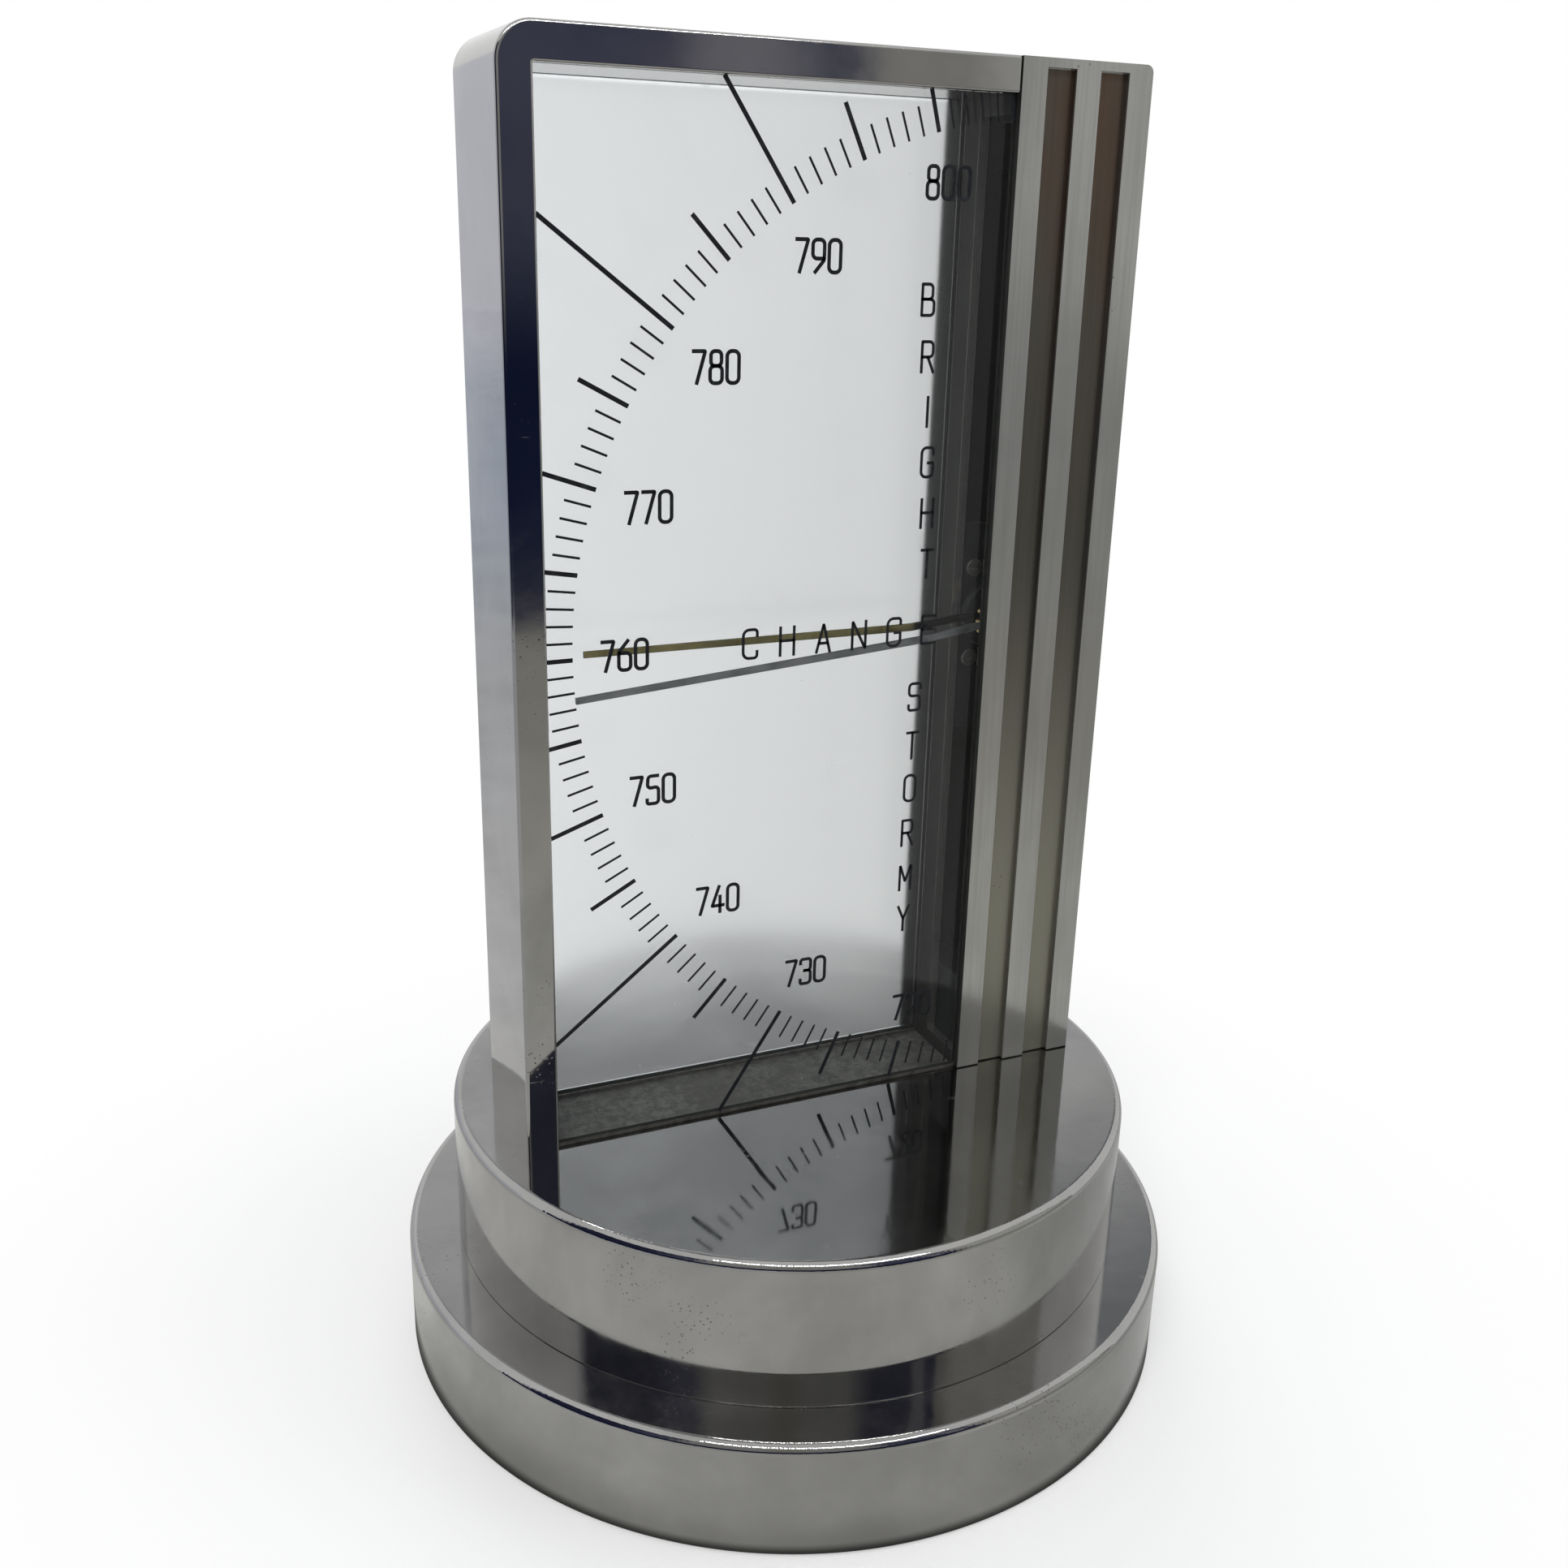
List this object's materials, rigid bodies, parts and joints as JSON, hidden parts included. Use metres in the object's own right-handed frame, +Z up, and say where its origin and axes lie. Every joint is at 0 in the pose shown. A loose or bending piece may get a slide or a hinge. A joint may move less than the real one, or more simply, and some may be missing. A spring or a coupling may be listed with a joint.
{
  "type": "desk barometer",
  "caption": "desk barometer: a tall framed glass dial beside a fluted column on a round two-tier base, with an indicating hand and a set hand",
  "frame": {"origin": "centre of the base on the surface that it stands on", "axes": "+Z up; the dial faces -Y; +X is the viewer's right, where the column stands"},
  "size_m": [0.102, 0.102, 0.16],
  "materials": {
    "chrome": "polished plating, a little dusty",
    "satin_metal": "brushed",
    "clear_glass": "clear",
    "frosted_glass": "frosted",
    "gilt": "satin",
    "bright_steel": "satin",
    "screw_steel": "turned",
    "blued_steel": "blued",
    "brass": "turned",
    "capsule_metal": "pressed",
    "plate_alloy": "satin",
    "black_metal": "black lacquer",
    "packing": "matt",
    "felt": "felt"
  },
  "bodies": {
    "housing": {"felt_pad": "felt", "bottom_plate": "plate_alloy", "bottom_screws": "screw_steel", "base_ring": "chrome", "base_drum": "chrome", "base_pillars": "brass", "frame_bar": "chrome", "bar_screws": "screw_steel", "front_pane": "clear_glass", "rear_pane": "frosted_glass", "pane_packing": "packing", "column": "satin_metal", "column_cover": "satin_metal", "cover_screws": "screw_steel", "foot_block": "black_metal", "foot_screws": "screw_steel", "head_block": "black_metal", "corner_pins": "screw_steel", "chassis_plate": "black_metal", "chassis_screws": "screw_steel", "front_plate": "black_metal", "plate_pillars": "brass", "plate_screws": "screw_steel", "bushes": "brass", "hairspring": "blued_steel", "hairspring_stud": "brass", "set_stud": "screw_steel", "friction_washer": "brass", "capsule_seat": "brass", "capsule_lower": "capsule_metal", "capsule_upper": "capsule_metal", "spring_bridge": "plate_alloy", "mainspring": "blued_steel", "spring_clamp": "plate_alloy", "clamp_screws": "screw_steel", "lever_shaft": "screw_steel"},
    "pointer": {"pointer_arbor": "screw_steel", "pointer_collet": "black_metal", "indicating_hand": "gilt"},
    "sector": {"sector": "brass", "sector_arbor": "screw_steel"},
    "link": {"link_rod": "screw_steel"},
    "set_pointer": {"set_wheel": "brass", "set_hand": "bright_steel"},
    "set_knob": {"knob_shaft": "screw_steel", "knob_wheel": "brass", "set_knob": "chrome"},
    "capsule_stud": {"capsule_stud": "screw_steel"},
    "lever": {"main_lever": "brass"},
    "zero_screw": {"zero_screw": "brass"}
  },
  "joints": [
    {"name": "pointer_turn", "type": "hinge", "parent": "housing", "child": "pointer", "pos_m": [0.0263, 0, 0.09505], "axis": [0, 1, 0], "range_deg": [-83, 83], "stiffness_Nm_per_rad": 0.001, "springref_deg": 3.44},
    {"name": "sector_turn", "type": "hinge", "parent": "housing", "child": "sector", "pos_m": [0.03266, 0.0027, 0.08869], "axis": [0, 1, 0], "range_deg": [-10.4, 10.4]},
    {"name": "link_turn", "type": "hinge", "parent": "lever", "child": "link", "pos_m": [0.02866, 0.004, 0.026], "axis": [0, 1, 0], "range_deg": [-0.67, 0.67]},
    {"name": "lever_turn", "type": "hinge", "parent": "housing", "child": "lever", "pos_m": [-0.0335, 0, 0.026], "axis": [0, 1, 0], "range_deg": [-0.67, 0.67]},
    {"name": "capsule_lift", "type": "slide", "parent": "housing", "child": "capsule_stud", "axis": [0, 0, 1], "range_m": [-0.00039033, 0.00039033], "deforming": ["capsule_upper", "mainspring"]},
    {"name": "knob_turn", "type": "hinge", "parent": "housing", "child": "set_knob", "pos_m": [0.0298, 0.009, 0.10134], "axis": [0, 1, 0], "range_deg": [-88, 78]},
    {"name": "set_pointer_turn", "type": "hinge", "parent": "housing", "child": "set_pointer", "pos_m": [0.0263, -0.005, 0.09505], "axis": [0, 1, 0], "range_deg": [-78, 88]},
    {"name": "zero_screw_turn", "type": "hinge", "parent": "housing", "child": "zero_screw", "pos_m": [0, 0, 0.003], "axis": [0, 0, 1], "range_deg": [-180, 180]}
  ],
  "couplings": [
    {"joint": "sector_turn", "follows": "pointer_turn", "ratio": -0.125},
    {"joint": "link_turn", "follows": "pointer_turn", "ratio": -0.0080433},
    {"joint": "lever_turn", "follows": "pointer_turn", "ratio": 0.0080433},
    {"joint": "capsule_lift", "follows": "pointer_turn", "m_per_rad": -0.00026945},
    {"joint": "set_pointer_turn", "follows": "knob_turn", "ratio": -1}
  ]
}
